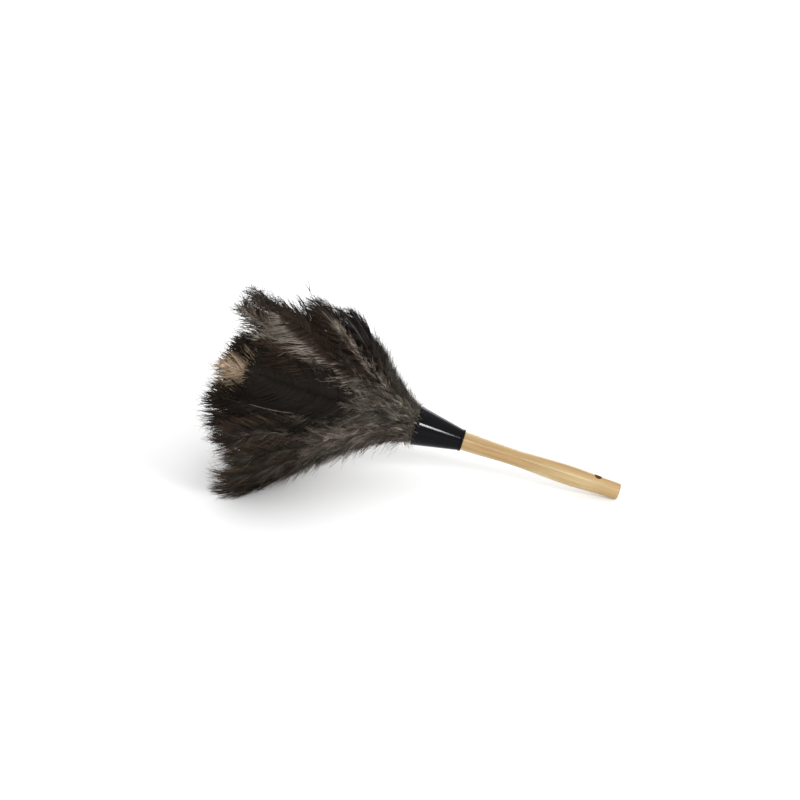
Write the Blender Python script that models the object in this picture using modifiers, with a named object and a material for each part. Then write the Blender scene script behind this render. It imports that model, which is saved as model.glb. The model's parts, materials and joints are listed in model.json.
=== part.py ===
"""Feather duster: a turned wooden handle, a plastic collar and three tiers of wired feathers.

Everything is modelled about the duster's own axis: local +Z runs from the handle to the feather tips,
local +X is the side that faces up, and z = 0 is the mouth of the collar. One empty tilts the whole
duster to the way it lies on a table, with its base on z = 0 and +X towards the end of the handle.
"""
import math
import random

import bmesh
import bpy
import numpy as np
from mathutils import Vector

# Driving dimensions, in metres
MOUTH_RADIUS = 0.0240            # outside of the collar at its mouth
COLLAR_LENGTH = 0.0587
COLLAR_NECK_RADIUS = 0.0130      # outside of the collar just before its lip
COLLAR_LIP_RADIUS = 0.01335
COLLAR_LIP_LENGTH = 0.0026
COLLAR_WALL = 0.0018
COLLAR_BORE_RADIUS = 0.0118      # where the collar grips the wood
COLLAR_BORE_LENGTH = 0.0080
COLLAR_LIP_ROUND = 0.0007
COLLAR_CONE_START = 0.0127       # inside of the collar where its cone begins

NOSE_RADIUS = 0.0070             # turned down end of the handle, inside the feathers
NOSE_TIP = -0.0040
NOSE_ROUND = 0.0015
SHOULDER = -0.0515               # where the nose meets the full handle
WOOD_COLLAR_RADIUS = 0.01145
WAIST = (-0.1200, 0.00985)       # station along the axis, radius
SWELL = (-0.1930, 0.0120)
HEEL = (-0.2450, 0.0102)
HANDLE_END = -0.2547
HANDLE_END_RADIUS = 0.0098
HANDLE_END_ROUND = 0.0028
HANG_HOLE_STATION = -0.2250
HANG_HOLE_RADIUS = 0.0046
HANG_HOLE_CUT = 0.05             # length of the cutter, more than the handle is thick

WIRE_RADIUS = 0.00045
WIRE_TURNS = 3
WIRE_PITCH = 0.0016
WIRE_POINTS_PER_TURN = 16
QUILL_DIAMETER = 0.0022
GAP = 0.0003                     # kept between pieces that touch on the real duster

TILT = math.radians(16.5)        # the axis against the table, handle end down
VIEWED_TOP = math.radians(-25.0) # azimuth at which the head is trimmed shortest

# The tiers from the inside out. reach is the station of a tip, less trim on top and bottom_trim below;
# lift is how much steeper the top feathers stand, and share is a vane's share of the room round the tier.
TIERS = {
    "inner": dict(count=10, root=-0.0480, root_radius=0.0084, mouth_radius=0.0092, reach=0.245,
                  tip_radius=0.046, trim=0.035, bottom_trim=0.0, lift=0.10, share=0.78, on_table=0.0),
    "middle": dict(count=16, root=-0.0360, root_radius=0.0122, mouth_radius=0.0138, reach=0.238,
                   tip_radius=0.092, trim=0.002, bottom_trim=0.005, lift=0.03, share=0.76, on_table=0.0),
    "outer": dict(count=22, root=-0.0200, root_radius=0.0162, mouth_radius=0.0180, reach=0.210,
                  tip_radius=0.132, trim=0.092, bottom_trim=0.004, lift=0.35, share=0.76, on_table=1.1),
}
BINDING_GAP = 0.0085             # from the roots of a tier's quills to its wire
TIP_SLOPE = 0.55                 # slope of a vane at its tip, as a share of its mean slope
DROOP = 0.10                     # how much steeper the feathers under the head spread
TRIM_SHARPNESS = 2.2             # how narrow the trimmed stretch on top of the head is
TABLE_REACH = 0.960              # length of the feathers that lie on the table, as a share of the reach
VANE_THICKNESS = 0.0017
VANE_START = 0.004               # past the mouth
VANE_RINGS = 11
VANE_MAX_WIDTH = 0.052
TIP_ROUND_FROM = 0.80            # share of the vane's length at which its tip starts to round off
LENGTH_JITTER = 0.045
AZIMUTH_JITTER = math.radians(0.8)
TAN_FEATHERS = {"inner_feather_03", "middle_feather_04", "outer_feather_14"}
SHAPE_SEED = 18006               # picks each feather's small differences in length and angle
TONE_SEED = 12753                # picks black or brown for each feather

ROUND_STEPS = 40                 # sides of a turned piece


def clear_scene():
    for obj in list(bpy.data.objects):
        bpy.data.objects.remove(obj, do_unlink=True)


def make_collection(name):
    collection = bpy.data.collections.new(name)
    bpy.context.scene.collection.children.link(collection)
    return collection


def make_material(name, colour, roughness, metallic=0.0):
    material = bpy.data.materials.new(name)
    material.use_nodes = True
    shader = material.node_tree.nodes["Principled BSDF"]
    shader.inputs["Base Color"].default_value = (*colour, 1.0)
    shader.inputs["Roughness"].default_value = roughness
    shader.inputs["Metallic"].default_value = metallic
    return material


def place(obj, collection, parent, material):
    collection.objects.link(obj)
    obj.parent = parent
    obj.data.materials.append(material)
    return obj


def arc(centre, radius, start, end, steps):
    """Points on an arc in the profile plane, as (radius, station); angles in degrees."""
    angles = np.radians(np.linspace(start, end, steps + 1))
    return [(centre[0] + radius * math.cos(a), centre[1] + radius * math.sin(a)) for a in angles]


def smooth_through(points, steps):
    """A smooth profile through (station, radius) points, level at the waist and the swell."""
    line = []
    for (z0, r0), (z1, r1) in zip(points, points[1:]):
        for u in np.linspace(0.0, 1.0, steps, endpoint=False):
            ease = u * u * (3.0 - 2.0 * u)
            line.append((r0 + (r1 - r0) * ease, z0 + (z1 - z0) * u))
    return line


def turned(name, profile, closed):
    """A profile of (radius, station) points, swept round the duster's axis."""
    mesh = bpy.data.meshes.new(name)
    edges = [(i, i + 1) for i in range(len(profile) - 1)]
    if closed:
        edges.append((len(profile) - 1, 0))
    mesh.from_pydata([(r, 0.0, z) for r, z in profile], edges, [])
    obj = bpy.data.objects.new(name, mesh)
    screw = obj.modifiers.new("Turn", "SCREW")
    screw.axis = "Z"
    screw.steps = ROUND_STEPS
    screw.render_steps = ROUND_STEPS
    screw.use_merge_vertices = True
    screw.merge_threshold = 0.00001
    return obj


def make_handle():
    nose_round = arc((NOSE_RADIUS - NOSE_ROUND, NOSE_TIP - NOSE_ROUND), NOSE_ROUND, 90, 0, 2)
    shoulder = [(NOSE_RADIUS, SHOULDER), (WOOD_COLLAR_RADIUS, SHOULDER)]
    grip = smooth_through([(-COLLAR_LENGTH, WOOD_COLLAR_RADIUS), WAIST, SWELL, HEEL], 5)
    end_centre = (HANDLE_END_RADIUS - HANDLE_END_ROUND, HANDLE_END + HANDLE_END_ROUND)
    end_round = arc(end_centre, HANDLE_END_ROUND, 0, -90, 4)
    heel = [(HEEL[1], HEEL[0])]
    profile = [(0.0, NOSE_TIP)] + nose_round + shoulder + grip + heel + end_round + [(0.0, HANDLE_END)]
    return turned("handle", profile, closed=False)


def drill_hang_hole(handle, cutters, frame):
    """A hole straight across the handle, from its upper side to its lower side."""
    bpy.ops.mesh.primitive_cylinder_add(vertices=24, radius=HANG_HOLE_RADIUS, depth=HANG_HOLE_CUT)
    cutter = bpy.context.object
    cutter.name = "hang_hole_cutter"
    cutter.users_collection[0].objects.unlink(cutter)
    cutters.objects.link(cutter)
    cutter.parent = frame
    cutter.location = (0.0, 0.0, HANG_HOLE_STATION)
    cutter.rotation_euler = (0.0, math.pi / 2, 0.0)
    cutter.hide_render = True
    cutter.display_type = "WIRE"
    cut = handle.modifiers.new("Hang hole", "BOOLEAN")
    cut.operation = "DIFFERENCE"
    cut.solver = "EXACT"
    cut.object = cutter


def make_collar():
    rim = COLLAR_WALL / 2
    rim_arc = arc((MOUTH_RADIUS - rim, -rim), rim, 180, 0, 6)
    lip_top = -COLLAR_LENGTH + COLLAR_LIP_LENGTH
    lip_centre = (COLLAR_LIP_RADIUS - COLLAR_LIP_ROUND, -COLLAR_LENGTH + COLLAR_LIP_ROUND)
    lip_arc = arc(lip_centre, COLLAR_LIP_ROUND, 0, -90, 3)
    bore_top = -COLLAR_LENGTH + COLLAR_BORE_LENGTH
    profile = rim_arc + [
        (COLLAR_NECK_RADIUS, lip_top + COLLAR_LIP_ROUND),
        (COLLAR_LIP_RADIUS, lip_top),
    ] + lip_arc + [
        (COLLAR_BORE_RADIUS, -COLLAR_LENGTH),
        (COLLAR_BORE_RADIUS, bore_top),
        (COLLAR_CONE_START, bore_top + 0.0008),
    ]
    return turned("collar", profile, closed=True)


def quill_radius(tier, z):
    """Distance of a quill from the axis inside the collar, where it runs straight."""
    u = (z - tier["root"]) / -tier["root"]
    return tier["root_radius"] + (tier["mouth_radius"] - tier["root_radius"]) * u


def make_binding(name, tier):
    """A few turns of wire round the quills of one tier."""
    start = tier["root"] + BINDING_GAP
    top = start + WIRE_TURNS * WIRE_PITCH
    coil_radius = quill_radius(tier, top) + QUILL_DIAMETER / 2 + GAP + WIRE_RADIUS
    curve = bpy.data.curves.new(name, "CURVE")
    curve.dimensions = "3D"
    curve.bevel_depth = WIRE_RADIUS
    curve.bevel_resolution = 1
    curve.use_fill_caps = True
    spline = curve.splines.new("POLY")
    spline.points.add(WIRE_TURNS * WIRE_POINTS_PER_TURN)
    for i, point in enumerate(spline.points):
        turn = i / WIRE_POINTS_PER_TURN
        angle = 2 * math.pi * turn
        x = coil_radius * math.cos(angle)
        y = coil_radius * math.sin(angle)
        point.co = (x, y, start + WIRE_PITCH * turn, 1.0)
    return bpy.data.objects.new(name, curve)


def table_drop(z):
    """How far below the axis the table is, at a station along it, when the handle's end touches it."""
    centre_radius = HANDLE_END_RADIUS - HANDLE_END_ROUND
    centre_station = HANDLE_END + HANDLE_END_ROUND
    return centre_radius + HANDLE_END_ROUND / math.cos(TILT) + (z - centre_station) * math.tan(TILT)


def feather_plan(tier, azimuth, length_scale):
    """Where one feather's tip is: its station, and its distance from the axis."""
    upness = max(0.0, math.cos(azimuth - VIEWED_TOP))
    downness = max(0.0, -math.cos(azimuth - VIEWED_TOP))
    trimmed = tier["reach"] - tier["trim"] * upness ** TRIM_SHARPNESS - tier["bottom_trim"] * downness
    reach = trimmed * length_scale
    mean_slope = (tier["tip_radius"] - tier["mouth_radius"]) / tier["reach"]
    slope = mean_slope * (1.0 + tier["lift"] * upness + DROOP * downness)
    return reach, tier["mouth_radius"] + slope * reach


def centreline_radius(tier, reach, tip_radius, z):
    """The quill runs straight to the mouth, then the shaft bends outwards in one smooth curve."""
    if z <= 0.0:
        return quill_radius(tier, z)
    u = z / reach
    start_slope = (tier["mouth_radius"] - tier["root_radius"]) / -tier["root"]
    end_slope = TIP_SLOPE * (tip_radius - tier["mouth_radius"]) / reach
    return (
        (2 * u ** 3 - 3 * u ** 2 + 1) * tier["mouth_radius"]
        + (u ** 3 - 2 * u ** 2 + u) * reach * start_slope
        + (3 * u ** 2 - 2 * u ** 3) * tip_radius
        + (u ** 3 - u ** 2) * reach * end_slope
    )


def make_feather(name, tier, azimuth, length_scale):
    """A closed blade: a round quill that flattens and widens into a vane with a blunt round tip."""
    reach, tip_radius = feather_plan(tier, azimuth, length_scale)
    below = abs(math.remainder(azimuth - math.pi, 2 * math.pi))
    pitch = 2 * math.pi / tier["count"]
    lies_on_table = below < tier["on_table"] * pitch
    if lies_on_table:
        reach = TABLE_REACH * tier["reach"]
        tip_radius = (table_drop(reach) - VANE_THICKNESS / 2) / math.cos(below)
    stations = [tier["root"], tier["root"] / 2, 0.0]
    stations += [VANE_START + (reach - VANE_START) * math.sin(0.5 * math.pi * u) ** 0.9
                 for u in np.linspace(0.0, 1.0, VANE_RINGS)]
    out = Vector((math.cos(azimuth), -math.sin(azimuth), 0.0))
    side = Vector((math.sin(azimuth), math.cos(azimuth), 0.0))
    mesh = bmesh.new()
    rings = []
    for z in stations:
        radius = centreline_radius(tier, reach, tip_radius, z)
        along = max(0.0, (z - VANE_START) / (reach - VANE_START))
        width = QUILL_DIAMETER
        thickness = QUILL_DIAMETER
        if along > 0.0:
            past = max(0.0, (along - TIP_ROUND_FROM) / (1.0 - TIP_ROUND_FROM))
            round_tip = math.sqrt(1.0 - 0.95 * past ** 2)
            share = tier["share"] * pitch * radius
            width = max(QUILL_DIAMETER, min(share, VANE_MAX_WIDTH) * round_tip)
            thickness = VANE_THICKNESS + (QUILL_DIAMETER - VANE_THICKNESS) * (1.0 - along) ** 4
        twist = 0.0
        if lies_on_table:
            twist = math.remainder(azimuth - math.pi, 2 * math.pi) * along
        across = side * math.cos(twist) - out * math.sin(twist)
        lift = out * math.cos(twist) + side * math.sin(twist)
        centre = out * radius + Vector((0.0, 0.0, z))
        outline = [(0.5, 0.0), (0.25, 0.5), (-0.25, 0.5), (-0.5, 0.0), (-0.25, -0.5), (0.25, -0.5)]
        rings.append([mesh.verts.new(centre + across * (w * width) + lift * (t * thickness))
                      for w, t in outline])
    for low, high in zip(rings, rings[1:]):
        for i in range(len(low)):
            j = (i + 1) % len(low)
            mesh.faces.new((low[i], low[j], high[j], high[i]))
    mesh.faces.new(rings[0])
    mesh.faces.new(rings[-1])
    bmesh.ops.recalc_face_normals(mesh, faces=mesh.faces)
    data = bpy.data.meshes.new(name)
    mesh.to_mesh(data)
    mesh.free()
    data.shade_smooth()
    return bpy.data.objects.new(name, data)


def stand_on_table(frame, collection):
    """Move the whole duster so that the middle of its base is the origin."""
    bpy.context.view_layer.update()
    graph = bpy.context.evaluated_depsgraph_get()
    corners = []
    for obj in collection.objects:
        ready = obj.evaluated_get(graph)
        mesh = ready.to_mesh()
        corners += [ready.matrix_world @ v.co for v in mesh.vertices]
        ready.to_mesh_clear()
    low = np.min(np.array(corners), axis=0)
    high = np.max(np.array(corners), axis=0)
    frame.location = (-(low[0] + high[0]) / 2, -(low[1] + high[1]) / 2, -low[2])
    bpy.context.view_layer.update()


def build():
    clear_scene()
    duster = make_collection("feather_duster")
    cutters = make_collection("cutters")
    frame = bpy.data.objects.new("duster_axis", None)
    bpy.context.scene.collection.objects.link(frame)
    frame.rotation_euler = (0.0, TILT - math.pi / 2, 0.0)

    wood = make_material("varnished_wood", (0.66, 0.47, 0.25), 0.32)
    plastic = make_material("black_plastic", (0.012, 0.012, 0.014), 0.12)
    steel = make_material("binding_steel", (0.45, 0.44, 0.42), 0.35, 1.0)
    black = make_material("black_feather", (0.020, 0.016, 0.013), 0.75)
    brown = make_material("brown_feather", (0.060, 0.045, 0.036), 0.80)
    tan = make_material("tan_feather", (0.42, 0.27, 0.15), 0.75)

    handle = place(make_handle(), duster, frame, wood)
    drill_hang_hole(handle, cutters, frame)
    place(make_collar(), duster, frame, plastic)

    shape = random.Random(SHAPE_SEED)
    tone = random.Random(TONE_SEED)
    for tier_name, tier in TIERS.items():
        place(make_binding(tier_name + "_binding_wire", tier), duster, frame, steel)
        for i in range(tier["count"]):
            name = f"{tier_name}_feather_{i + 1:02d}"
            azimuth = 2 * math.pi * i / tier["count"]
            azimuth += shape.uniform(-1, 1) * AZIMUTH_JITTER
            length_scale = 1.0 + shape.uniform(-1, 1) * LENGTH_JITTER
            look = tone.choice([black, brown])
            if name in TAN_FEATHERS:
                look = tan
            place(make_feather(name, tier, azimuth, length_scale), duster, frame, look)
    stand_on_table(frame, duster)


build()
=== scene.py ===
"""Feather duster lying on a pale table: the finished looks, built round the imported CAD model."""
import json
import math

import bmesh
import bpy
import numpy as np
from mathutils import Matrix, Vector


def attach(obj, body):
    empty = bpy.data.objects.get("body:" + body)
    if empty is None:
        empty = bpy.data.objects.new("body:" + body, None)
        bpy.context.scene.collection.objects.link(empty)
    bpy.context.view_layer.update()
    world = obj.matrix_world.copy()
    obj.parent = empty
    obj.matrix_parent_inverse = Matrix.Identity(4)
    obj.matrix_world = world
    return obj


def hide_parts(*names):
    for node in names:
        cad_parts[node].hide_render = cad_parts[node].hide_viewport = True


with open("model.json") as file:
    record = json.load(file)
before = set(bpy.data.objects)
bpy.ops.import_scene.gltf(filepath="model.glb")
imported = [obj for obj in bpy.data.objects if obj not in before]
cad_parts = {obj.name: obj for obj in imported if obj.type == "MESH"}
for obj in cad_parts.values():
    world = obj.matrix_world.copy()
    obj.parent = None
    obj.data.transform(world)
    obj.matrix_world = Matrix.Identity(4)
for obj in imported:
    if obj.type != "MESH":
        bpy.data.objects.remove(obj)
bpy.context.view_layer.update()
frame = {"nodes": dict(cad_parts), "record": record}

# The duster's own frame: local Z runs from the handle to the feather tips, local X is the side that
# faces up, and its origin is the middle of the collar's mouth. All lengths are in metres.
HANDLE_FROM_MOUTH = 0.2547
END = next(m for m in frame["record"]["mounts"] if m["name"] == "handle_end")
AXIS = -Vector(END["axis"]).normalized()
SIDE = Vector((0.0, 1.0, 0.0))
TOP = SIDE.cross(AXIS).normalized()
MOUTH = Vector(END["pos_m"]) + AXIS * HANDLE_FROM_MOUTH
DUSTER = Matrix((
    (TOP.x, SIDE.x, AXIS.x, MOUTH.x),
    (TOP.y, SIDE.y, AXIS.y, MOUTH.y),
    (TOP.z, SIDE.z, AXIS.z, MOUTH.z),
    (0.0, 0.0, 0.0, 1.0),
))
TURN = np.array(DUSTER)[:3, :3]
UP = TURN[2]                     # away from the table, in the duster's frame

SLOTS = {part["node"]: part["material_slot"] for part in frame["record"]["subparts"]}
FEATHERS = sorted(node for node in frame["nodes"] if "_feather_" in node)
WIRES = ("inner_binding_wire", "middle_binding_wire", "outer_binding_wire")

# Collar and handle, with the sizes that they have in the CAD model. Stations are along local Z.
COLLAR_LENGTH = 0.0587
COLLAR_MOUTH_RADIUS = 0.0240
COLLAR_NECK_RADIUS = 0.0130
COLLAR_LIP_RADIUS = 0.01335
COLLAR_LIP_ROUND = 0.0007
COLLAR_WALL = 0.0018
COLLAR_BORE_RADIUS = 0.0118
COLLAR_INNER_NECK_RADIUS = COLLAR_NECK_RADIUS - COLLAR_WALL + 0.0015
COLLAR_CONE_END = -COLLAR_LENGTH + 0.0034
COLLAR_LIP_START = -COLLAR_LENGTH + 0.0026
COLLAR_BORE_TOP = -COLLAR_LENGTH + 0.0080
COLLAR_INNER_NECK = -COLLAR_LENGTH + 0.0088
CONE_RINGS = 24
NOSE_RADIUS = 0.0070
NOSE_TIP = -0.0040
NOSE_ROUND = 0.0015
SHOULDER = -0.0515
GRIP = [(-0.0587, 0.01145), (-0.1200, 0.00985), (-0.1930, 0.0120), (-0.2450, 0.0102)]  # station, radius
GRIP_RINGS = 16                  # between two of the points of GRIP
HANDLE_END_RADIUS = 0.0098
HANDLE_END_ROUND = 0.0028
HANG_HOLE_STATION = -0.2250
HANG_HOLE_RADIUS = 0.0046
TURNED_SIDES = 128
SHARP_ANGLE = math.radians(38.0)

# Feathers and their strands
SEED = 1000                      # of the first feather; the others count on from it
RING_GAP = 0.0003                # the CAD blade's rings of vertices lie further apart than this
FREE_FROM = -0.0005              # the shaft's curve is fitted to the rings from here outward
TABLE_TIP = 0.012                # a feather whose tip is lower than this lies on the table
TABLE_CLEARANCE = 0.0006         # strands that would sink into the table lie this far above it
TONE_RANGE = 4.0                 # the brightest strand, as a multiple of its feather's usual colour
QUILL_POINTS = 3
SHAFT_POINTS = 26
BARB_POINTS = 6
FRINGE_POINTS = 4
DOWN_POINTS = 6
SHAFT_HALF_WIDTH = 0.00100       # at its root, as are the half widths below
SHAFT_TIP_HALF_WIDTH = 0.00022   # at its tip
FRINGE_HALF_WIDTH = 0.00016
DOWN_HALF_WIDTH = 0.00034
HAIR_HALF_WIDTH = 0.00036
RIM_HALF_WIDTH = 0.00024
BARB_FLATNESS = 0.30             # a barb's thickness as a share of its half width
ROUND = 0.9                      # the same for the strands that are nearly round
SMALLEST_CLUMP = 2               # barbs in a clump
LARGEST_CLUMP = 7
HAIRS_PER_BARB = 2
STRANDS_PER_TUFT = 6
SHORT_DOWN = dict(spread=(12.0, 40.0), size=(0.012, 0.025))    # degrees from the shaft, and lengths
LONG_DOWN = dict(spread=(3.0, 12.0), size=(0.022, 0.038))
RIM_STRANDS = 64                 # on each outer feather

# The usual look of a feather in each tier; look_of has the values that the tiers share
TIERS = {
    "inner": dict(half_width=0.022, barbs=130, barb=0.00115, taper=0.74,
                  tufts=44, twist=24.0, down_open=0.0),
    "middle": dict(half_width=0.024, barbs=160, barb=0.00105, taper=0.82,
                   tufts=90, twist=18.0, down_open=0.0),
    "outer": dict(half_width=0.023, barbs=185, barb=0.00090, taper=0.84,
                  tufts=190, twist=12.0, down_open=5.0),
}

# Feathers that differ from their tier's usual look
BROAD_FRONT = dict(
    half_width=0.0305, barbs=225, barb=0.00100, taper=0.70, blunt=0.012, over=-0.012, ends=0.91,
    shaft_to=0.88, raise_by=0.011, twist=0.0, splay=46.0, cup=0.05, sag=0.0, curl=0.008, ragged=0.04,
    gather=0.25, loose=0.25, fringe=0.004, clump_lift=0.0004, clump_tone=0.08, barb_tone=0.05,
    tone=0.78, dark_from=0.30, pale_tips=0.0, pale_middle=0.0, down_to=0.36,
    shaft_tone=0.7, shaft_shade=0.9,
)
PALE_LOBE = dict(
    barb=0.00085, taper=0.84, curl=0.07, curls=1.6, ragged=0.38, fray=0.10, loose=2.8, fringe=0.012,
    clump_tone=0.24, dark_from=1.05, pale_tips=0.2, pale_middle=0.4, down_to=0.80,
)
DARK_TOP = dict(
    half_width=0.030, barbs=215, over=-0.004, ends=0.92, twist=30.0, splay=48.0, ragged=0.24,
    tone=0.54, dark_from=0.30, pale_tips=0.0, pale_middle=0.0,
    tufts=230, down_open=20.0, down_dark=0.6, down_tone=1.45, loose_hairs=70,
)
STREAKED = dict(
    barbs=205, over=0.008, twist=0.0, splay=44.0, ragged=0.26, fringe=0.009, tone=0.66,
    dark_from=0.36, pale_tips=0.0, pale_middle=1.0, pale_until=0.86, shaft_shade=0.0, shaft_tone=1.2,
)
DARK_BROWN = dict(
    tone=0.78, barb_tone=0.30, dark_from=0.30, pale_tips=0.0, pale_middle=0.35, down_to=0.66,
    edge_hand=1.0, edge_from=0.62, shaft_shade=0.5,
)
PALE_SHAFT = dict(
    twist=0.0, tone=0.9, dark_from=0.40, pale_tips=0.0, pale_middle=0.0,
    shaft_shade=0.0, shaft_tone=1.35, shaft_width=1.2, shaft_to=0.92,
)
FLUFFY = dict(
    half_width=0.033, barbs=225, barb=0.00100, twist=0.0, ragged=0.10, tone=1.3, dark_from=0.50,
    pale_middle=0.2, down_to=0.90, down_open=10.0, down_dark=0.45,
)
FULL = dict(half_width=0.033, barbs=210, over=-0.008, ragged=0.08, down_to=0.95, down_dark=0.7)
LOW = dict(half_width=0.027, barbs=200, tone=1.5, down_to=0.85, down_open=12.0, down_dark=0.40)
SHORT = dict(over=-0.014, ends=0.90, shaft_to=0.86)
SPECIAL = {
    "inner_feather_02": dict(over=-0.004),
    "middle_feather_01": PALE_LOBE | dict(half_width=0.033, over=-0.012, ragged=0.50, curl=0.10,
                                          fray=0.18, tone=0.80, dark_from=0.75, dark_hand=1.0),
    "middle_feather_02": PALE_LOBE | dict(half_width=0.025, over=-0.002, tone=0.94, barb_tone=0.36,
                                          dark_hand=1.0),
    "middle_feather_03": dict(over=-0.004),
    "middle_feather_04": dict(half_width=0.025, barbs=190, over=-0.001, ragged=0.25, clump_tone=0.12,
                              barb_tone=0.16, pale_tips=1.0, pale_middle=0.0),
    "middle_feather_06": FULL,
    "middle_feather_07": FULL,
    "middle_feather_08": FULL | SHORT | dict(over=-0.018, ends=0.89),
    "middle_feather_09": SHORT,
    "middle_feather_15": dict(half_width=0.029, ragged=0.22, tone=0.8),
    "middle_feather_16": PALE_LOBE | dict(half_width=0.038, over=-0.010, ragged=0.50, curl=0.15,
                                          fray=0.24, tone=0.74, dark_from=0.6),
    "outer_feather_01": DARK_TOP,
    "outer_feather_02": STREAKED | dict(half_width=0.031, tone=0.74, down_tone=2.2, down_to=0.80,
                                        down_dark=0.08, shaft_tone=1.5, shaft_width=1.3),
    "outer_feather_03": STREAKED | dict(half_width=0.033, tone=0.68, pale_until=0.50, edge_hand=-1.0,
                                        edge_from=0.42, shaft_tone=0.8, shaft_shade=0.7),
    "outer_feather_04": DARK_BROWN,
    "outer_feather_05": BROAD_FRONT,
    "outer_feather_06": PALE_SHAFT,
    "outer_feather_07": FLUFFY,
    "outer_feather_08": FLUFFY | SHORT,
    "outer_feather_09": LOW,
    "outer_feather_10": FLUFFY,
    "outer_feather_11": LOW,
    "outer_feather_12": LOW,
    "outer_feather_18": STREAKED | dict(half_width=0.034, over=0.014),
    "outer_feather_19": STREAKED | dict(half_width=0.032, over=0.012, stray=True),
    "outer_feather_20": DARK_TOP,
    "outer_feather_21": DARK_TOP,
    "outer_feather_22": DARK_TOP,
}

# The colours of a feather: its down, the blade that its barbs make, and the barbs' tips
FEATHER_COLOURS = {
    "black_feather": dict(down=(0.152, 0.131, 0.113), blade=(0.0170, 0.0138, 0.0108),
                          tip=(0.095, 0.060, 0.041)),
    "brown_feather": dict(down=(0.182, 0.157, 0.134), blade=(0.036, 0.0240, 0.0172),
                          tip=(0.085, 0.062, 0.045)),
    "tan_feather": dict(down=(0.16, 0.12, 0.09), blade=(0.60, 0.47, 0.335),
                        tip=(0.10, 0.068, 0.045)),
}

# Stage
CAMERA_ELEVATION = math.radians(23.9)
CAMERA_AZIMUTH = math.radians(7.55)
CAMERA_DISTANCE = 3.6
FRAME_WIDTH = 0.954              # what the picture spans at the duster
AIM_RIGHT = -0.0193              # from the collar's mouth to the middle of the picture
AIM_UP = 0.0302
LIGHT_DISTANCE = 3.2
# Each light's name, the degrees by which it stands off towards the handle and up round the duster's
# axis from the camera's direction, its size along and across the duster, and its radiance
LIGHTS = (
    ("collar_strip", 22.3, 16.0, (0.20, 0.62), 120.0),
    ("handle_strip", 2.0, 16.0, (0.90, 0.25), 14.0),
    ("rear_softbox", 0.0, 138.0, (2.20, 1.20), 2.8),
)


# ---------------------------------------------------------------------------------------------------
# Materials

def new_material(name):
    material = bpy.data.materials.new(name)
    material.use_nodes = True
    return material, material.node_tree, material.node_tree.nodes["Principled BSDF"]


def link(tree, source, target):
    tree.links.new(source, target)


def duster_position(tree):
    """The position in the duster's own frame, so that a pattern can run along the handle."""
    coordinates = tree.nodes.new("ShaderNodeTexCoord")
    mapping = tree.nodes.new("ShaderNodeMapping")
    mapping.vector_type = "TEXTURE"
    mapping.inputs["Location"].default_value = MOUTH
    mapping.inputs["Rotation"].default_value = DUSTER.to_euler()
    link(tree, coordinates.outputs["Object"], mapping.inputs["Vector"])
    return mapping.outputs["Vector"]


def noise(tree, stretch, detail=2.0, distortion=0.0):
    """Noise of so many blotches per metre along each axis of the duster."""
    mapping = tree.nodes.new("ShaderNodeMapping")
    mapping.inputs["Scale"].default_value = stretch
    link(tree, duster_position(tree), mapping.inputs["Vector"])
    texture = tree.nodes.new("ShaderNodeTexNoise")
    texture.inputs["Scale"].default_value = 1.0
    texture.inputs["Detail"].default_value = detail
    texture.inputs["Distortion"].default_value = distortion
    link(tree, mapping.outputs["Vector"], texture.inputs["Vector"])
    return texture.outputs["Fac"]


def ramp(tree, value, *stops):
    """A colour ramp; each stop is a position and a colour or a grey level."""
    node = tree.nodes.new("ShaderNodeValToRGB")
    elements = node.color_ramp.elements
    while len(elements) < len(stops):
        elements.new(0.5)
    for element, (position, colour) in zip(elements, stops):
        element.position = position
        element.color = (*(colour if isinstance(colour, tuple) else (colour,) * 3), 1.0)
    link(tree, value, node.inputs["Fac"])
    return node.outputs["Color"]


def mix(tree, mode, factor, first, second):
    node = tree.nodes.new("ShaderNodeMix")
    node.data_type = "RGBA"
    node.blend_type = mode
    for name, value in (("Factor", factor), ("A", first), ("B", second)):
        if isinstance(value, (int, float)):
            node.inputs[name].default_value = value
        elif isinstance(value, tuple):
            node.inputs[name].default_value = (*value, 1.0)
        else:
            link(tree, value, node.inputs[name])
    return node.outputs["Result"]


def maths(tree, operation, first, second=0.0):
    node = tree.nodes.new("ShaderNodeMath")
    node.operation = operation
    for socket, value in zip(node.inputs, (first, second)):
        if isinstance(value, (int, float)):
            socket.default_value = value
        else:
            link(tree, value, socket)
    return node.outputs["Value"]


def bump(tree, shader, height, strength, distance):
    node = tree.nodes.new("ShaderNodeBump")
    node.inputs["Strength"].default_value = strength
    node.inputs["Distance"].default_value = distance
    link(tree, height, node.inputs["Height"])
    link(tree, node.outputs["Normal"], shader.inputs["Normal"])


def hang_hole_dark_wood_and_shade(tree):
    """1 on the wall of the hang hole, which runs along local X, and 0 elsewhere. The wood is painted
    darker there, partly its own darker colour and partly painted shade in the hole.
    """
    place = tree.nodes.new("ShaderNodeSeparateXYZ")
    link(tree, duster_position(tree), place.inputs["Vector"])
    along = maths(tree, "SUBTRACT", place.outputs["Z"], HANG_HOLE_STATION)
    squares = maths(tree, "ADD", maths(tree, "POWER", along, 2.0),
                    maths(tree, "POWER", place.outputs["Y"], 2.0))
    return maths(tree, "LESS_THAN", maths(tree, "SQRT", squares), HANG_HOLE_RADIUS * 1.02)


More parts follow.
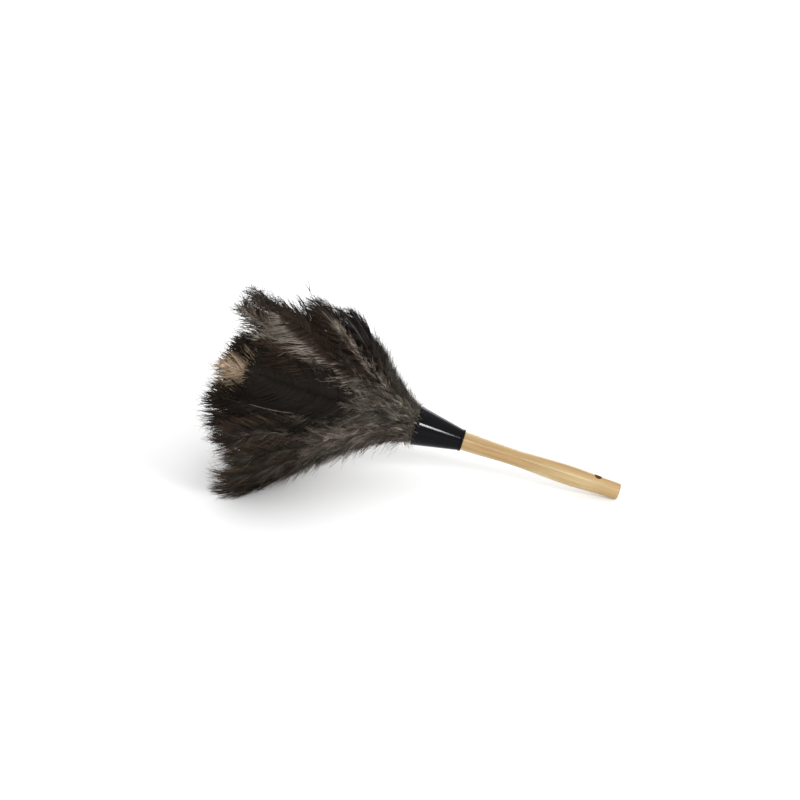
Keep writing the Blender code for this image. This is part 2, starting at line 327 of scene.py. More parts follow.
def varnished_wood():
    material, tree, shader = new_material("varnished_wood")
    broad = ramp(tree, noise(tree, (95, 95, 5), 4.0, 0.4), (0.28, (0.300, 0.182, 0.060)),
                 (0.50, (0.425, 0.303, 0.137)), (0.74, (0.53, 0.408, 0.220)))
    pores = ramp(tree, noise(tree, (900, 900, 28)), (0.42, 0.74), (0.60, 1.0))
    patches = ramp(tree, noise(tree, (55, 55, 10)), (0.36, (0.86, 0.72, 0.52)), (0.58, 1.0))
    colour = mix(tree, "MULTIPLY", 0.40, broad, pores)
    colour = mix(tree, "MULTIPLY", 0.8, colour, patches)
    # painted shade: the wood on the hang hole's wall is darkened, partly for its own darker colour and
    # partly for the shade in the hole
    colour = mix(tree, "MULTIPLY", hang_hole_dark_wood_and_shade(tree), colour, (0.42, 0.30, 0.22))
    link(tree, colour, shader.inputs["Base Color"])
    rough = ramp(tree, noise(tree, (400, 400, 30), 3.0), (0.3, 0.36), (0.7, 0.48))
    link(tree, rough, shader.inputs["Roughness"])
    shader.inputs["Coat Weight"].default_value = 0.40
    shader.inputs["Coat Roughness"].default_value = 0.13
    bump(tree, shader, pores, 0.12, 0.0003)
    return material


def black_plastic():
    material, tree, shader = new_material("black_plastic")
    colour = ramp(tree, noise(tree, (60, 60, 60)), (0.3, (0.0028, 0.0028, 0.0038)),
                  (0.7, (0.0045, 0.0045, 0.006)))
    link(tree, colour, shader.inputs["Base Color"])
    rough = ramp(tree, noise(tree, (900, 900, 120), 3.0), (0.3, 0.04), (0.7, 0.09))
    link(tree, rough, shader.inputs["Roughness"])
    shader.inputs["Specular IOR Level"].default_value = 0.07
    bump(tree, shader, noise(tree, (160, 160, 60)), 0.04, 0.0004)
    return material


def wire_steel():
    material, tree, shader = new_material("wire_steel")
    colour = ramp(tree, noise(tree, (700, 700, 700)), (0.3, (0.33, 0.32, 0.30)),
                  (0.7, (0.52, 0.51, 0.49)))
    link(tree, colour, shader.inputs["Base Color"])
    shader.inputs["Metallic"].default_value = 1.0
    rough = ramp(tree, noise(tree, (1200, 1200, 300)), (0.3, 0.28), (0.7, 0.45))
    link(tree, rough, shader.inputs["Roughness"])
    return material


def feather_material(name, down, blade, tip):
    """Reads the tint that strands carry: red goes from down to blade, green is a tone, and blue goes to
    the tips' colour."""
    material, tree, shader = new_material(name)
    tint = tree.nodes.new("ShaderNodeAttribute")
    tint.attribute_name = "tint"
    parts = tree.nodes.new("ShaderNodeSeparateColor")
    link(tree, tint.outputs["Color"], parts.inputs["Color"])
    half_way = tuple(0.45 * a + 0.55 * b for a, b in zip(down, blade))
    dark = tuple(0.80 * c for c in blade)
    along = ramp(tree, parts.outputs["Red"], (0.0, down), (0.42, half_way), (0.68, blade), (1.0, dark))
    along = mix(tree, "MIX", parts.outputs["Blue"], along, tip)
    mottle = ramp(tree, noise(tree, (420, 420, 420), 3.0), (0.32, 0.72), (0.68, 1.0))
    colour = mix(tree, "MULTIPLY", 0.8, along, mottle)
    cast = ramp(tree, noise(tree, (34, 34, 14)), (0.38, (1.0, 0.93, 0.91)), (0.62, (0.96, 0.98, 0.93)))
    colour = mix(tree, "MULTIPLY", 1.0, colour, cast)
    tone = tree.nodes.new("ShaderNodeVectorMath")
    tone.operation = "SCALE"
    link(tree, colour, tone.inputs[0])
    link(tree, maths(tree, "MULTIPLY", parts.outputs["Green"], TONE_RANGE), tone.inputs["Scale"])
    link(tree, tone.outputs["Vector"], shader.inputs["Base Color"])
    shader.inputs["Roughness"].default_value = 0.62
    shader.inputs["Specular IOR Level"].default_value = 0.05
    return material


def table_material():
    material, tree, shader = new_material("pale_table")
    colour = ramp(tree, noise(tree, (1.5, 1.5, 1.5)), (0.3, 0.945), (0.7, 0.965))
    link(tree, colour, shader.inputs["Base Color"])
    shader.inputs["Roughness"].default_value = 0.9
    shader.inputs["Specular IOR Level"].default_value = 0.1
    return material


# ---------------------------------------------------------------------------------------------------
# Strands: closed three-sided threads, flat or round, gathered into one mesh for each feather

def unit(vectors):
    return vectors / np.maximum(np.linalg.norm(vectors, axis=-1, keepdims=True), 1e-9)


def smoothstep(low, high, value):
    u = np.clip((value - low) / (high - low), 0.0, 1.0)
    return u * u * (3.0 - 2.0 * u)


def past(edge, softness, value):
    """Goes from 0 to 1 as the value passes the edge."""
    return smoothstep(edge - softness, edge + softness, value)


def to_world(points):
    return points @ TURN.T + np.array(MOUTH)


def above_table(points):
    """Points of the duster's frame in the row frame, kept above the table."""
    world = to_world(points)
    world[..., 2] = np.maximum(world[..., 2], TABLE_CLEARANCE)
    return world


def new_mesh(name, points, faces_by_size):
    """A mesh from numpy arrays; each of faces_by_size holds faces with the same number of corners."""
    corners = np.concatenate([faces.ravel() for faces in faces_by_size]).astype(np.int32)
    sizes = np.concatenate([np.full(len(faces), faces.shape[1]) for faces in faces_by_size])
    starts = (np.cumsum(sizes) - sizes).astype(np.int32)
    mesh = bpy.data.meshes.new(name)
    mesh.vertices.add(len(points))
    mesh.vertices.foreach_set("co", points.astype(np.float32).ravel())
    mesh.loops.add(len(corners))
    mesh.loops.foreach_set("vertex_index", corners)
    mesh.polygons.add(len(sizes))
    mesh.polygons.foreach_set("loop_start", starts)
    return mesh


def tint_of(shade, tone, tip):
    """A strand's tint at each point: from down to blade, its tone, and its share of the tips' colour."""
    return np.stack(np.broadcast_arrays(shade, tone / TONE_RANGE, tip), axis=-1)


class Strands:
    def __init__(self):
        self.points = []
        self.quads = []
        self.ends = []
        self.tints = []
        self.count = 0

    def add(self, paths, across, half_widths, flatness, tints):
        """Adds strands along paths, an array of strands by points by three. Across is the direction in
        which they are broad. It, the half widths and the tints may be given once for several."""
        across = np.broadcast_to(across, paths.shape) @ TURN.T
        tints = np.broadcast_to(tints, paths.shape)
        paths = above_table(paths)
        strands, length, _ = paths.shape
        tangent = unit(np.gradient(paths, axis=1))
        broad = unit(across - tangent * (across * tangent).sum(-1, keepdims=True))
        thin = np.cross(tangent, broad)
        w = half_widths[..., None]
        ring = np.stack([paths + broad * w, paths + thin * w * flatness, paths - broad * w], axis=2)
        index = self.count + np.arange(strands * length * 3).reshape(strands, length, 3)
        low, high = index[:, :-1], index[:, 1:]
        for i in range(3):
            j = (i + 1) % 3
            quad = np.stack([low[..., i], low[..., j], high[..., j], high[..., i]], axis=-1)
            self.quads.append(quad.reshape(-1, 4))
        self.ends.append(index[:, 0, ::-1])
        self.ends.append(index[:, -1])
        self.points.append(ring.reshape(-1, 3))
        self.tints.append(np.repeat(np.clip(tints, 0.0, 1.0), 3, axis=1).reshape(-1, 3))
        self.count += strands * length * 3

    def mesh(self, name):
        points = np.concatenate(self.points)
        mesh = new_mesh(name, points, [np.concatenate(self.quads), np.concatenate(self.ends)])
        tint = mesh.attributes.new("tint", "FLOAT_COLOR", "POINT")
        colour = np.concatenate([np.concatenate(self.tints), np.ones((len(points), 1))], axis=1)
        tint.data.foreach_set("color", colour.astype(np.float32).ravel())
        mesh.update(calc_edges=True)
        mesh.validate()
        mesh.shade_smooth()
        return mesh


# ---------------------------------------------------------------------------------------------------
# Feathers. Along a shaft, s goes from 0 at the collar's mouth to 1 at the CAD blade's tip. Along any
# other strand, u goes from 0 at its root to 1. A hand, -1 or 1, is a side of the shaft.

class Shaft:
    """The route of one feather's shaft, read from its CAD blade, with a frame of side and outward."""

    def __init__(self, node, rng, look):
        world = np.array([v.co for v in frame["nodes"][node].data.vertices])
        local = (world - np.array(MOUTH)) @ TURN
        local = local[np.argsort(local[:, 2])]
        breaks = np.flatnonzero(np.diff(local[:, 2]) > RING_GAP) + 1
        centres = np.array([(ring.min(0) + ring.max(0)) / 2 for ring in np.split(local, breaks)])
        free = centres[:, 2] > FREE_FROM
        tip = centres[-1]
        self.root = centres[0]
        self.reach = tip[2]
        self.fit_x = np.polyfit(centres[free, 2], centres[free, 0], 3)
        self.fit_y = np.polyfit(centres[free, 2], centres[free, 1], 3)
        self.azimuth = math.atan2(-tip[1], tip[0])
        self.on_table = MOUTH.z + float(tip @ UP) < TABLE_TIP
        loose = 0.0 if self.on_table else 1.0
        self.twist = loose * math.radians(look["twist"]) * rng.uniform(-1.0, 1.0)
        self.sway = loose * rng.uniform(-1.0, 1.0, 2) * look["sway"]
        self.raise_by = look["raise_by"]
        self.phase = rng.uniform(0.0, 2 * math.pi)

    def directions(self):
        """The directions away from the duster's axis and round it."""
        c, s = math.cos(self.azimuth), math.sin(self.azimuth)
        return np.array((c, -s, 0.0)), np.array((s, c, 0.0))

    def point(self, s):
        z = s * self.reach
        base = np.stack([np.polyval(self.fit_x, z), np.polyval(self.fit_y, z), z], axis=-1)
        bend = s ** 2 * np.sin(2.4 * math.pi * s + self.phase)
        out, side = self.directions()
        lifted = self.raise_by * smoothstep(0.1, 0.6, s)
        sway = self.sway[0] * side + self.sway[1] * out
        return base + bend[..., None] * sway + lifted[..., None] * out

    def frame_at(self, s):
        """Tangent, side and outward directions, turned by the twist towards the tip."""
        step = 0.004
        tangent = unit(self.point(s + step) - self.point(s - step))
        _, side = self.directions()
        if self.on_table:
            level = np.array((0.0, 1.0, 0.0)) * np.sign(side[1] + 1e-9)
            blend = smoothstep(0.3, 0.9, s)[..., None]
            side = side * (1.0 - blend) + level * blend
        side = unit(side - tangent * (tangent * side).sum(-1, keepdims=True))
        outward = np.cross(side, tangent)
        turn = self.twist * smoothstep(0.15, 1.0, s)
        c, k = np.cos(turn)[..., None], np.sin(turn)[..., None]
        return tangent, side * c + outward * k, outward * c - side * k


def add_rachis(strands, shaft, look):
    """The quill and the shaft, from inside the collar to just short of the tip."""
    s = np.linspace(0.0, look["shaft_to"], SHAFT_POINTS)
    path = shaft.point(s)
    quill = np.linspace(shaft.root, path[0], QUILL_POINTS + 1)[:-1]
    path = np.concatenate([quill, path])[None]
    path = path + 0.5 * SHAFT_HALF_WIDTH * look["shaft_width"] * shaft.directions()[0]
    side = shaft.frame_at(np.array([0.3]))[1][0]
    s = np.concatenate([np.zeros(QUILL_POINTS), s])
    half = look["shaft_width"] * (SHAFT_HALF_WIDTH * (1 - s) ** 0.7 + SHAFT_TIP_HALF_WIDTH)
    tone = look["shaft_tone"] * (0.25 + 0.75 * smoothstep(0.05, 0.35, s))
    strands.add(path, side, half, 1.0, tint_of(look["shaft_shade"] + 0.3 * s, tone, 0.0))


def clumps(rng, count):
    """Splits a row of strands into neighbouring clumps, and gives the clump of each strand."""
    sizes = rng.integers(SMALLEST_CLUMP, LARGEST_CLUMP + 1, count)
    return np.repeat(np.arange(count), sizes)[:count]


def barb_reach(s, length, folded, look):
    """How far to the side and forward each barb goes, and how far past the vane's corner it starts.
    Barbs before the corner end on the vane's straight edge, and the others on its blunt tip."""
    half_width = look["half_width"] * (0.45 + 0.55 * smoothstep(0.05, 0.42, s))
    sweep = np.radians(look["splay"] - folded - 10.0 * smoothstep(0.3, 0.9, s))
    sweep_ahead = look["half_width"] / math.tan(math.radians(look["splay"] - 10.0))
    corner_at = length * 1.02 + look["over"] - look["blunt"]
    corner = np.clip((corner_at - sweep_ahead) / length, 0.2, look["ends"] - 0.06)
    past_corner = np.clip((s - corner) / (look["ends"] - corner), 0.0, 1.0)
    theta = (1.0 - past_corner) * 0.5 * math.pi + math.radians(2.0)
    on_tip = past_corner > 0.0
    sideways = np.where(on_tip, look["half_width"] * np.sin(theta), half_width)
    tip_forward = corner_at + look["blunt"] * np.cos(theta) - s * length
    forward = np.where(on_tip, tip_forward, half_width / np.tan(sweep))
    return sideways, forward, past_corner


def add_vane(strands, shaft, rng, look):
    """Two rows of flat barbs that overlap into a vane with a blunt tip, parted here and there."""
    count = look["barbs"]
    length = shaft.reach
    u = np.linspace(0.0, 1.0, BARB_POINTS)
    for hand in (-1.0, 1.0):
        s = np.sort(np.linspace(0.05, look["ends"], count) + rng.normal(0.0, 0.0015, count))
        clump = clumps(rng, count)
        centre = (np.bincount(clump, s) / np.bincount(clump))[clump]
        uneven = look["clump_tone"] + look["root_tone"] * (1.0 - smoothstep(0.25, 0.60, s))
        clump_tone = np.maximum(1.0 + uneven * rng.normal(0.0, 1.0, count)[clump], 0.35)
        clump_lift = rng.normal(0.0, look["clump_lift"], count)[clump]
        short = (1.0 - look["ragged"] * rng.random(count) ** 2 * 2.0)[clump]

        # Where each barb ends, strayed a little and drawn towards the middle of its clump
        folded = look["folded"] * (1.0 - smoothstep(0.12, 0.55, s))
        sideways, forward, past_corner = barb_reach(s, length, folded, look)
        jitter = short * rng.normal(1.0, 0.03, count)
        stray = rng.normal(0.0, 4.0, count)[clump] + rng.normal(0.0, 3.0, count)
        stray = np.radians(stray) * look["loose"]
        sideways, forward = (
            jitter * (sideways * np.cos(stray) + forward * np.sin(stray)),
            jitter * (forward * np.cos(stray) - sideways * np.sin(stray)),
        )
        forward = forward + (centre - s) * length * look["gather"]

        # Its path there, which leaves the shaft more steeply and then bends forward
        tangent, side, outward = shaft.frame_at(s)
        start = shaft.point(s)
        barb = np.hypot(sideways, forward)
        lift = -look["cup"] * barb + clump_lift
        end = start + tangent * forward[:, None] + side * (hand * sideways)[:, None]
        end = end + outward * lift[:, None]
        leave = np.radians(look["splay"] - folded + 16.0 - 20.0 * past_corner)
        first = np.cos(leave)[:, None] * tangent + hand * np.sin(leave)[:, None] * side
        control = start + first * (0.42 * barb)[:, None] + outward * (0.05 * barb)[:, None]
        a, b, c = ((1 - u) ** 2)[:, None], (2 * u * (1 - u))[:, None], (u ** 2)[:, None]
        path = a * start[:, None] + b * control[:, None] + c * end[:, None]
        wave = rng.uniform(0.0, 2 * math.pi, count)[:, None]
        curl = look["curl"] * barb[:, None] * u * np.sin(look["curls"] * 2 * math.pi * u + wave)
        path = path + curl[..., None] * outward[:, None]
        fray = look["fray"] * barb[:, None] * u ** 2 * rng.normal(0.0, 1.0, count)[:, None]
        path = path + fray[..., None] * side[:, None]
        path = path - (look["sag"] * barb[:, None] * u ** 2)[..., None] * UP
        across = np.cross(outward[:, None], unit(np.gradient(path, axis=1)))
        half = look["barb"] * (1.0 - look["taper"] * u ** 1.7) * rng.uniform(0.8, 1.2, count)[:, None]

        # Its colours
        shade = past(look["dark_from"], 0.14, s + rng.normal(0, 0.03, count))
        if hand == look["dark_hand"]:
            shade = np.maximum(shade, 0.48)
        tone = look["tone"] * clump_tone * rng.normal(1.0, look["barb_tone"], count)
        pale = look["pale_tips"] * smoothstep(0.35, 0.95, u)[None] * rng.uniform(0.3, 1.0, count)[:, None]
        fading = 1.0 - past(look["pale_until"], 0.12, s)[:, None]
        near_shaft = look["pale_middle"] * (1.0 - smoothstep(0.04, 0.44, u)) * fading
        at_edge = past(look["edge_from"], 0.16, u) * (hand == look["edge_hand"])
        light = np.maximum(near_shaft, at_edge)
        shade = shade[:, None] * (1.0 - light) + 0.08 * u
        tint = tint_of(shade, tone[:, None] * (1.0 + 0.6 * light), pale)
        strands.add(path, across, half, BARB_FLATNESS, tint)
        add_fringe(strands, rng, path, across, outward, tint, look)


def add_fringe(strands, rng, barbs, across, outward, tints, look):
    """Fine hairs that stand off the outer part of the barbs and soften the edge of the vane."""
    pick = np.repeat(np.arange(len(barbs)), HAIRS_PER_BARB)
    count = len(pick)
    at = rng.integers(2, BARB_POINTS, count)
    start = barbs[pick, at]
    along = unit(barbs[pick, at] - barbs[pick, at - 1])
    lean = np.radians(rng.normal(0.0, 24.0, count))[:, None]
    rise = np.radians(rng.normal(0.0, 16.0, count))[:, None]
    heading = unit(along * np.cos(lean) + across[pick, at] * np.sin(lean) + outward[pick] * np.sin(rise))
    size = look["fringe"] * rng.uniform(0.5, 1.2, count)
    u = np.linspace(0.0, 1.0, FRINGE_POINTS)
    bend = unit(rng.normal(0.0, 1.0, (count, 3)))
    path = start[:, None] + heading[:, None] * (size[:, None] * u)[..., None]
    path = path + bend[:, None] * (0.25 * size[:, None] * u ** 2)[..., None]
    half = FRINGE_HALF_WIDTH * (1.0 - 0.6 * u) * rng.uniform(0.8, 1.5, count)[:, None]
    strands.add(path, across[pick, at][:, None], half, ROUND, tints[pick, at][:, None])


def aside_at(turn, side, outward):
    """The direction away from the shaft, turned from the side through outward."""
    return np.cos(turn)[:, None] * side + np.sin(turn)[:, None] * outward


def grown(start, tangent, aside, angle, size):
    """Paths that grow from the shaft, at an angle to it that changes along the strand."""
    heading = np.cos(angle)[..., None] * tangent[:, None] + np.sin(angle)[..., None] * aside[:, None]
    steps = 0.5 * (heading[:, 1:] + heading[:, :-1]) * (size / (DOWN_POINTS - 1))[:, None, None]
    steps = np.concatenate([np.zeros((len(size), 1, 3)), np.cumsum(steps, axis=1)], axis=1)
    return start[:, None] + steps


def add_down(strands, shaft, rng, look, tufts, ranges):
    """Tufts of soft wavy down round the lower part of the shaft."""
    count = tufts * STRANDS_PER_TUFT
    s_tuft = look["down_to"] * rng.uniform(0.0, 1.0, tufts) ** 0.8
    turn = rng.uniform(-0.42, 1.42, tufts) * math.pi
    spread = np.radians(rng.uniform(*ranges["spread"], tufts) + look["down_open"])
    size = rng.uniform(*ranges["size"], tufts) * (0.80 + 0.20 * smoothstep(0.0, 0.22, s_tuft))
    uneven = np.exp(np.clip(rng.normal(0.0, 0.75, tufts), -1.6, 0.85))
    tone = look["down_tone"] * look["tone"] ** 0.5 * uneven
    phase = rng.uniform(0.0, 2 * math.pi, tufts)
    waves = rng.uniform(1.2, 2.4, tufts)
    plane = unit(rng.normal(0.0, 1.0, (tufts, 3)))

    def each(values):
        return np.repeat(values, STRANDS_PER_TUFT, axis=0)

    s = each(s_tuft) + rng.normal(0.0, 0.006, count)
    tangent, side, outward = shaft.frame_at(np.clip(s, 0.0, 1.0))
    start = shaft.point(s) + rng.normal(0.0, 0.0008, (count, 3))
    spread = each(spread) + np.radians(rng.normal(0.0, 3.2, count))
    size = each(size) * rng.uniform(0.75, 1.1, count)
    u = np.linspace(0.0, 1.0, DOWN_POINTS)
    angle = spread[:, None] * (1.25 - 0.75 * u)
    path = grown(start, tangent, aside_at(each(turn), side, outward), angle, size)
    wave = np.sin(2 * math.pi * each(waves)[:, None] * u + each(phase)[:, None])
    ripple = 0.055 * size[:, None] * u ** 0.7 * wave
    path = path + ripple[..., None] * each(plane)[:, None]
    loose = unit(rng.normal(0.0, 1.0, (count, 3)))
    path = path + (0.05 * size[:, None] * u ** 2)[..., None] * loose[:, None]
    path = path - (0.05 * size[:, None] * u ** 2)[..., None] * UP
    half = DOWN_HALF_WIDTH * (1.0 - 0.75 * u) * rng.uniform(0.7, 1.5, count)[:, None]
    # painted shade: the down darkens towards each strand's end, for the dark gaps between the tufts
    tone = each(tone)[:, None] * rng.normal(1.0, 0.20, count)[:, None] * (1.30 - 0.80 * u)
    shade = 0.10 * rng.uniform(0, 1, count) + look["down_dark"] * smoothstep(0.2, 0.7, s)
    strands.add(path, side[:, None], half, ROUND, tint_of(shade[:, None], tone, 0.0))


def add_loose_hairs(strands, shaft, rng, look):
    """Single dark hairs that stand off the outer side of a feather, all along its lower part."""
    count = look["loose_hairs"]
    s = rng.uniform(0.02, 0.62, count)
    tangent, side, outward = shaft.frame_at(s)
    turn = rng.uniform(0.15, 0.85, count) * math.pi
    size = rng.uniform(0.016, 0.028, count)
    u = np.linspace(0.0, 1.0, DOWN_POINTS)
    angle = rng.uniform(48.0, 74.0, count)[:, None] - rng.uniform(-5.0, 40.0, count)[:, None] * u
    path = grown(shaft.point(s), tangent, aside_at(turn, side, outward), np.radians(angle), size)
    half = HAIR_HALF_WIDTH * (1.0 - 0.6 * u) * rng.uniform(0.7, 1.2, count)[:, None]
    tint = tint_of(0.8, rng.uniform(0.8, 2.2, count)[:, None], 0.0)
    strands.add(path, side[:, None], half, ROUND, tint)


def add_rim_fluff(strands, shaft, rng):
    """Short down of the outer feathers that curls out over the rim of the collar."""
    count = RIM_STRANDS
    s = rng.uniform(0.0, 0.05, count)
    tangent, side, outward = shaft.frame_at(s)
    start = shaft.point(s) + rng.normal(0.0, 0.0008, (count, 3))
    turn = rng.uniform(0.0, 1.0, count) * math.pi
    size = 0.0050 + 0.0100 * rng.random(count) ** 2
    u = np.linspace(0.0, 1.0, DOWN_POINTS)
    angle = rng.uniform(35.0, 85.0, count)[:, None] + rng.uniform(10.0, 95.0, count)[:, None] * u
    path = grown(start, tangent, aside_at(turn, side, outward), np.radians(angle), size)
    loose = unit(rng.normal(0.0, 1.0, (count, 3)))
    path = path + (0.18 * size[:, None] * u ** 2)[..., None] * loose[:, None]
    half = RIM_HALF_WIDTH * (1.0 - 0.7 * u) * rng.uniform(0.7, 1.4, count)[:, None]
    tone = np.exp(rng.normal(-0.05, 0.45, count))[:, None] * (0.5 + 0.6 * u)
    strands.add(path, side[:, None], half, ROUND, tint_of(0.0, tone, 0.0))


def add_stray(strands, shaft):
    """One long loose barb that stands up from the tip and forks."""
    root = np.array([0.97])
    tangent, side, _ = (v[0] for v in shaft.frame_at(root))
    lean = 0.35 * tangent + 0.25 * side
    stem = shaft.point(root)[0] + np.linspace(0.0, 0.023, 6)[:, None] * unit(UP + lean)
    left, right = unit(UP + lean + 0.55 * side), unit(UP + lean - 0.40 * side)
    reach = np.linspace(0.0, 0.012, 6)[:, None]
    paths = np.stack([stem, stem[-1] + reach * left, stem[-1] + reach * 1.1 * right])
    strands.add(paths, side, np.linspace(0.00075, 0.00035, 6), ROUND, tint_of(0.2, 0.9, 0.0))


def look_of(node, rng):
    """A feather's shape, in metres and degrees, and its colours. Several values vary at random."""
    tier = TIERS[node.split("_")[0]]
    look = dict(
        # the vane
        half_width=tier["half_width"] * rng.uniform(0.90, 1.12),
        down_to=rng.uniform(0.48, 0.66),              # how far out the down grows
        splay=rng.uniform(36.0, 44.0),                # between the barbs and the shaft
        folded=16.0,                                  # how much less the splay is near the root
        blunt=rng.uniform(0.014, 0.022),              # how far the round tip reaches past the corner
        over=0.005,                                   # moves the vane's tip outward
        ends=0.965,                                   # where the last barb leaves the shaft
        cup=rng.uniform(-0.02, 0.16),
        curl=rng.uniform(0.010, 0.035),
        curls=rng.uniform(0.7, 1.4),
        fray=rng.uniform(0.02, 0.04),
        sag=rng.uniform(0.02, 0.08),
        ragged=0.14,
        gather=0.55,                                  # how far a clump's barbs draw together
        loose=1.0,
        fringe=0.0095,                                # the length of a fine hair
        clump_lift=0.0014,
        sway=0.004,
        raise_by=0.0,
        # its colours
        dark_from=rng.uniform(0.36, 0.56),            # where the barbs lose the down's colour
        tone=rng.uniform(0.75, 1.25),
        pale_tips=rng.uniform(0.15, 0.75),
        pale_middle=rng.choice([0.0, 0.2, 0.6]),      # a pale streak along the shaft
        pale_until=1.2,                               # where that streak ends
        clump_tone=0.10,
        root_tone=0.24,
        barb_tone=0.26,
        dark_hand=0.0,                                # the hand that is darker all along, if any
        edge_hand=0.0,                                # the hand that has a pale edge, if any
        edge_from=0.5,                                # where along the barbs that edge starts
        # the shaft
        shaft_shade=rng.uniform(0.0, 0.5),
        shaft_tone=rng.uniform(0.9, 1.8),
        shaft_width=1.0,
        shaft_to=0.94,
        # the down, the loose hairs and the stray barb
        down_dark=0.30,
        down_tone=1.0,
        loose_hairs=24,
        stray=False,
    )
    return tier | look | SPECIAL.get(node, {})


def make_feather(node, index, material):
    rng = np.random.default_rng(SEED + index)
    look = look_of(node, rng)
    shaft = Shaft(node, rng, look)
    strands = Strands()
    add_rachis(strands, shaft, look)
    add_vane(strands, shaft, rng, look)
    add_down(strands, shaft, rng, look, look["tufts"], SHORT_DOWN)
    add_down(strands, shaft, rng, look, look["tufts"] // 4, LONG_DOWN)
    if node.startswith("outer"):
        add_rim_fluff(strands, shaft, rng)
        add_loose_hairs(strands, shaft, rng, look)
    if look["stray"]:
        add_stray(strands, shaft)
    show(strands.mesh(node + "_plume"), material, node)


def show(mesh, material, node):
    """Puts a finished mesh in the scene in place of its CAD node."""
    mesh.materials.append(material)
    piece = bpy.data.objects.new(mesh.name, mesh)
    bpy.context.scene.collection.objects.link(piece)
    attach(piece, "root")
    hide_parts(node)
    return piece


# ---------------------------------------------------------------------------------------------------
# Handle and collar

def arc(centre, radius, start, end, steps):
    angles = np.radians(np.linspace(start, end, steps + 1))
    return [(centre[0] + radius * math.cos(a), centre[1] + radius * math.sin(a)) for a in angles]


def smooth_through(points, steps):
    """(radius, station) points on a smooth line through (station, radius) points."""
    line = []
    for (z0, r0), (z1, r1) in zip(points, points[1:]):
        for u in np.linspace(0.0, 1.0, steps, endpoint=False):
            line.append((r0 + (r1 - r0) * u * u * (3.0 - 2.0 * u), z0 + (z1 - z0) * u))
    return line


def turned(name, profile, closed):
    """A mesh turned about the duster's axis from (radius, station) points."""
    profile = np.array(profile)
    angles = 2 * math.pi * np.arange(TURNED_SIDES) / TURNED_SIDES
    radius, station = profile[:, :1], profile[:, 1:]
    points = np.stack([radius * np.cos(angles), radius * np.sin(angles), station + 0 * angles], axis=-1)
    rows = np.arange(len(profile) * TURNED_SIDES).reshape(len(profile), TURNED_SIDES)
    low, high = (rows, np.roll(rows, -1, axis=0)) if closed else (rows[:-1], rows[1:])
    quads = np.stack([low, np.roll(low, -1, axis=1), np.roll(high, -1, axis=1), high], axis=-1)
    mesh = new_mesh(name, to_world(points.reshape(-1, 3)), [quads.reshape(-1, 4)])
    mesh.update(calc_edges=True)
    finish_turned(mesh)
    return mesh


def finish_turned(mesh):
    """Closes the poles, turns every face outwards and keeps the corners crisp."""
    solid = bmesh.new()
    solid.from_mesh(mesh)
    bmesh.ops.remove_doubles(solid, verts=solid.verts, dist=0.00001)
    bmesh.ops.recalc_face_normals(solid, faces=solid.faces)
    solid.to_mesh(mesh)
    solid.free()
    mesh.shade_smooth()
    mesh.set_sharp_from_angle(angle=SHARP_ANGLE)


def make_collar(material):
    rim = COLLAR_WALL / 2
    mouth, neck = (COLLAR_MOUTH_RADIUS, -rim), (COLLAR_NECK_RADIUS, COLLAR_CONE_END)
    lip_centre = (COLLAR_LIP_RADIUS - COLLAR_LIP_ROUND, -COLLAR_LENGTH + COLLAR_LIP_ROUND)
    profile = arc((COLLAR_MOUTH_RADIUS - rim, -rim), rim, 180, 0, 10)
    for u in np.linspace(0.0, 1.0, CONE_RINGS)[1:]:
        profile.append(tuple(a + (b - a) * u for a, b in zip(mouth, neck)))
    profile.append((COLLAR_LIP_RADIUS, COLLAR_LIP_START))
    profile += arc(lip_centre, COLLAR_LIP_ROUND, 0, -90, 6)
    profile += [(COLLAR_BORE_RADIUS, -COLLAR_LENGTH), (COLLAR_BORE_RADIUS, COLLAR_BORE_TOP)]
    profile.append((COLLAR_INNER_NECK_RADIUS, COLLAR_INNER_NECK))
    show(turned("collar_shell", profile, True), material, "collar")


def make_handle(material):
    nose_centre = (NOSE_RADIUS - NOSE_ROUND, NOSE_TIP - NOSE_ROUND)
    end_centre = (HANDLE_END_RADIUS - HANDLE_END_ROUND, -HANDLE_FROM_MOUTH + HANDLE_END_ROUND)
    grip_start, grip_end = GRIP[0], GRIP[-1]
    profile = [(0.0, NOSE_TIP)] + arc(nose_centre, NOSE_ROUND, 90, 0, 6)
    profile += [(NOSE_RADIUS, SHOULDER), (grip_start[1], SHOULDER)]
    profile += smooth_through(GRIP, GRIP_RINGS)
    profile += [(grip_end[1], grip_end[0])] + arc(end_centre, HANDLE_END_ROUND, 0, -90, 10)
    profile.append((0.0, -HANDLE_FROM_MOUTH))
    cut_hang_hole(show(turned("turned_handle", profile, False), material, "handle"))


def cut_hang_hole(handle):
    bpy.ops.mesh.primitive_cylinder_add(vertices=64, radius=HANG_HOLE_RADIUS, depth=0.05)
    cutter = bpy.context.object
    at_hole = Matrix.Translation((0, 0, HANG_HOLE_STATION)) @ Matrix.Rotation(math.pi / 2, 4, "Y")
    cutter.matrix_world = DUSTER @ at_hole
    cut = handle.modifiers.new("Hang hole", "BOOLEAN")
    cut.object = cutter
    cut.solver = "EXACT"
    graph = bpy.context.evaluated_depsgraph_get()
    finished = bpy.data.meshes.new_from_object(handle.evaluated_get(graph))
    handle.modifiers.clear()
    handle.data = finished
    finished.set_sharp_from_angle(angle=SHARP_ANGLE)
    bpy.data.objects.remove(cutter)


# ---------------------------------------------------------------------------------------------------
# Stage, lights and camera

def camera_directions():
    """The directions from the duster back to the camera, and to the right and up in the picture."""
    e, a = CAMERA_ELEVATION, CAMERA_AZIMUTH
    back = Vector((math.cos(e) * math.sin(a), -math.cos(e) * math.cos(a), math.sin(e)))
    right = Vector((math.cos(a), math.sin(a), 0.0))
    return back, right, back.cross(right)


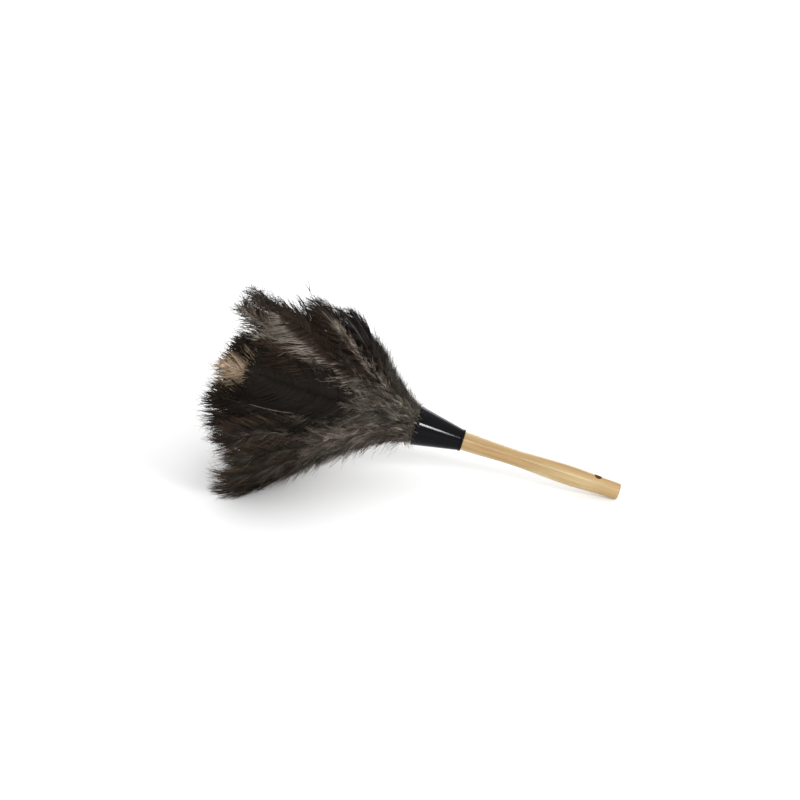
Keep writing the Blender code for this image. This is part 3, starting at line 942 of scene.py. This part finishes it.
def make_camera():
    back, right, up = camera_directions()
    data = bpy.data.cameras.new("camera")
    data.sensor_width = 36.0
    data.lens = data.sensor_width * CAMERA_DISTANCE / FRAME_WIDTH
    data.clip_end = 50.0
    camera = bpy.data.objects.new("camera", data)
    camera.location = MOUTH + right * AIM_RIGHT + up * AIM_UP + back * CAMERA_DISTANCE
    camera.rotation_mode = "QUATERNION"
    camera.rotation_quaternion = (-back).to_track_quat("-Z", "Y")
    bpy.context.scene.collection.objects.link(camera)
    bpy.context.scene.camera = camera


def area_light(name, position, size, radiance):
    """A rectangle that shines at the collar's mouth; its first side runs along the duster."""
    z = (position - MOUTH).normalized()
    x = (AXIS - z * AXIS.dot(z)).normalized()
    data = bpy.data.lights.new(name, "AREA")
    data.shape = "RECTANGLE"
    data.size, data.size_y = size
    data.energy = radiance * math.pi * size[0] * size[1]
    light = bpy.data.objects.new(name, data)
    light.location = position
    light.rotation_mode = "QUATERNION"
    light.rotation_quaternion = Matrix((x, z.cross(x), z)).transposed().to_quaternion()
    bpy.context.scene.collection.objects.link(light)


def make_stage():
    world = bpy.data.worlds.new("studio")
    bpy.context.scene.world = world
    world.use_nodes = True
    background = world.node_tree.nodes["Background"]
    background.inputs["Color"].default_value = (1.0, 1.0, 1.0, 1.0)
    background.inputs["Strength"].default_value = 1.07
    bpy.context.scene.view_settings.view_transform = "Standard"

    bpy.ops.mesh.primitive_plane_add(size=30.0, location=(0, 0, 0))
    table = bpy.context.object
    table.name = "table_top"
    table.data.materials.append(table_material())

    back = camera_directions()[0]
    above = AXIS.cross(back)
    for name, towards_handle, turned_up, size, radiance in LIGHTS:
        tilt, turn = math.radians(towards_handle), math.radians(turned_up)
        square_on = back * math.cos(turn) + above * math.sin(turn)
        direction = square_on * math.cos(tilt) - AXIS * math.sin(tilt)
        area_light(name, MOUTH + direction * LIGHT_DISTANCE, size, radiance)


def build():
    materials = {name: feather_material(name, **colours) for name, colours in FEATHER_COLOURS.items()}
    steel = wire_steel()
    for node in WIRES:
        frame["nodes"][node].data.materials.clear()
        frame["nodes"][node].data.materials.append(steel)
    make_collar(black_plastic())
    make_handle(varnished_wood())
    for index, node in enumerate(FEATHERS):
        make_feather(node, index, materials[SLOTS[node]])
    make_stage()
    make_camera()


build()
bpy.context.view_layer.update()
